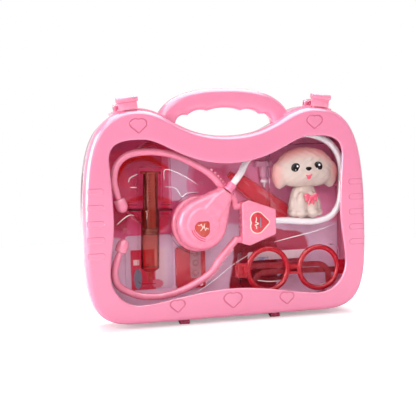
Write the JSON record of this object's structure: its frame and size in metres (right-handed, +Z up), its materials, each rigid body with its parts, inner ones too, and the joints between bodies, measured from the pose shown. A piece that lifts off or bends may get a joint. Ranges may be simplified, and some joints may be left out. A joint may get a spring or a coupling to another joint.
{
  "type": "toy doctor case",
  "caption": "Toy doctor case with carry handle, hinged lid with clear window, swing latches and a tray of toy medical instruments.",
  "frame": {"origin": "middle of the bounding box at its lowest plane, under the closed case standing on its hinge knuckles and rear feet", "axes": "+X to the right seen from the window side, +Y from the lid to the back, +Z up to the handle"},
  "size_m": [0.264, 0.048, 0.2094],
  "materials": {
    "case_plastic": "moulded pink, glossy",
    "clear_sheet": "clear flat sheet",
    "tray_sheet": "clear formed sheet",
    "card_print": "matt printed card",
    "light_pink": "moulded light pink",
    "deep_pink": "moulded deep pink",
    "white_plastic": "moulded white",
    "white_tube": "soft white tube",
    "red_label": "glossy sticker",
    "syringe_clear": "clear smoky amber",
    "seal_rubber": "soft dark seal",
    "puppy_vinyl": "soft cream vinyl with painted face",
    "glasses_red": "moulded red",
    "dark_red": "moulded dark red",
    "clear_red": "clear red",
    "badge_print": "printed card",
    "board_red": "moulded red",
    "dome_sheet": "clear formed sheet",
    "bottle_pink": "moulded pale pink",
    "cap_white": "moulded white",
    "label_paper": "plain paper"
  },
  "bodies": {
    "case": {"back_shell": "case_plastic", "blister_tray": "tray_sheet", "insert_card": "card_print", "chest_piece_base": "light_pink", "chest_piece_bell": "deep_pink", "chest_piece_diaphragm": "white_plastic", "tube_collar": "deep_pink", "chest_heart_label": "red_label", "stethoscope_tube": "white_tube", "yoke_front": "light_pink", "yoke_back": "light_pink", "yoke_heart_label": "red_label", "upper_ear_arm": "light_pink", "lower_ear_arm": "light_pink", "upper_ear_tip": "light_pink", "lower_ear_tip": "light_pink", "syringe_barrel": "syringe_clear", "puppy_body": "puppy_vinyl", "puppy_head": "puppy_vinyl", "glasses_frame": "glasses_red", "glasses_left_temple": "glasses_red", "glasses_right_temple": "glasses_red", "tweezers": "dark_red", "kidney_dish": "clear_red", "badge_card": "badge_print", "pill_board": "board_red", "pill_domes": "dome_sheet", "otoscope": "dark_red", "dropper_bottle": "bottle_pink", "dropper_cap": "cap_white", "pocket_label": "label_paper"},
    "lid": {"lid_frame": "case_plastic", "window_pane": "clear_sheet"},
    "left_latch": {"left_latch": "case_plastic"},
    "right_latch": {"right_latch": "case_plastic"},
    "plunger": {"syringe_plunger": "syringe_clear", "plunger_seal": "seal_rubber"}
  },
  "joints": [
    {"name": "lid_hinge", "type": "hinge", "parent": "case", "child": "lid", "pos_m": [0, -0.014, 0.0019], "axis": [1, 0, 0], "range_deg": [0, 180]},
    {"name": "left_latch_hinge", "type": "hinge", "parent": "case", "child": "left_latch", "pos_m": [-0.09005, -0.001, 0.19524], "axis": [-0.993, 0, -0.1179], "range_deg": [0, 110]},
    {"name": "right_latch_hinge", "type": "hinge", "parent": "case", "child": "right_latch", "pos_m": [0.09005, -0.001, 0.19524], "axis": [-0.993, 0, 0.1179], "range_deg": [0, 110]},
    {"name": "plunger_slide", "type": "slide", "parent": "case", "child": "plunger", "axis": [-0.0349, 0, -0.9994], "range_m": [0, 0.028]}
  ]
}
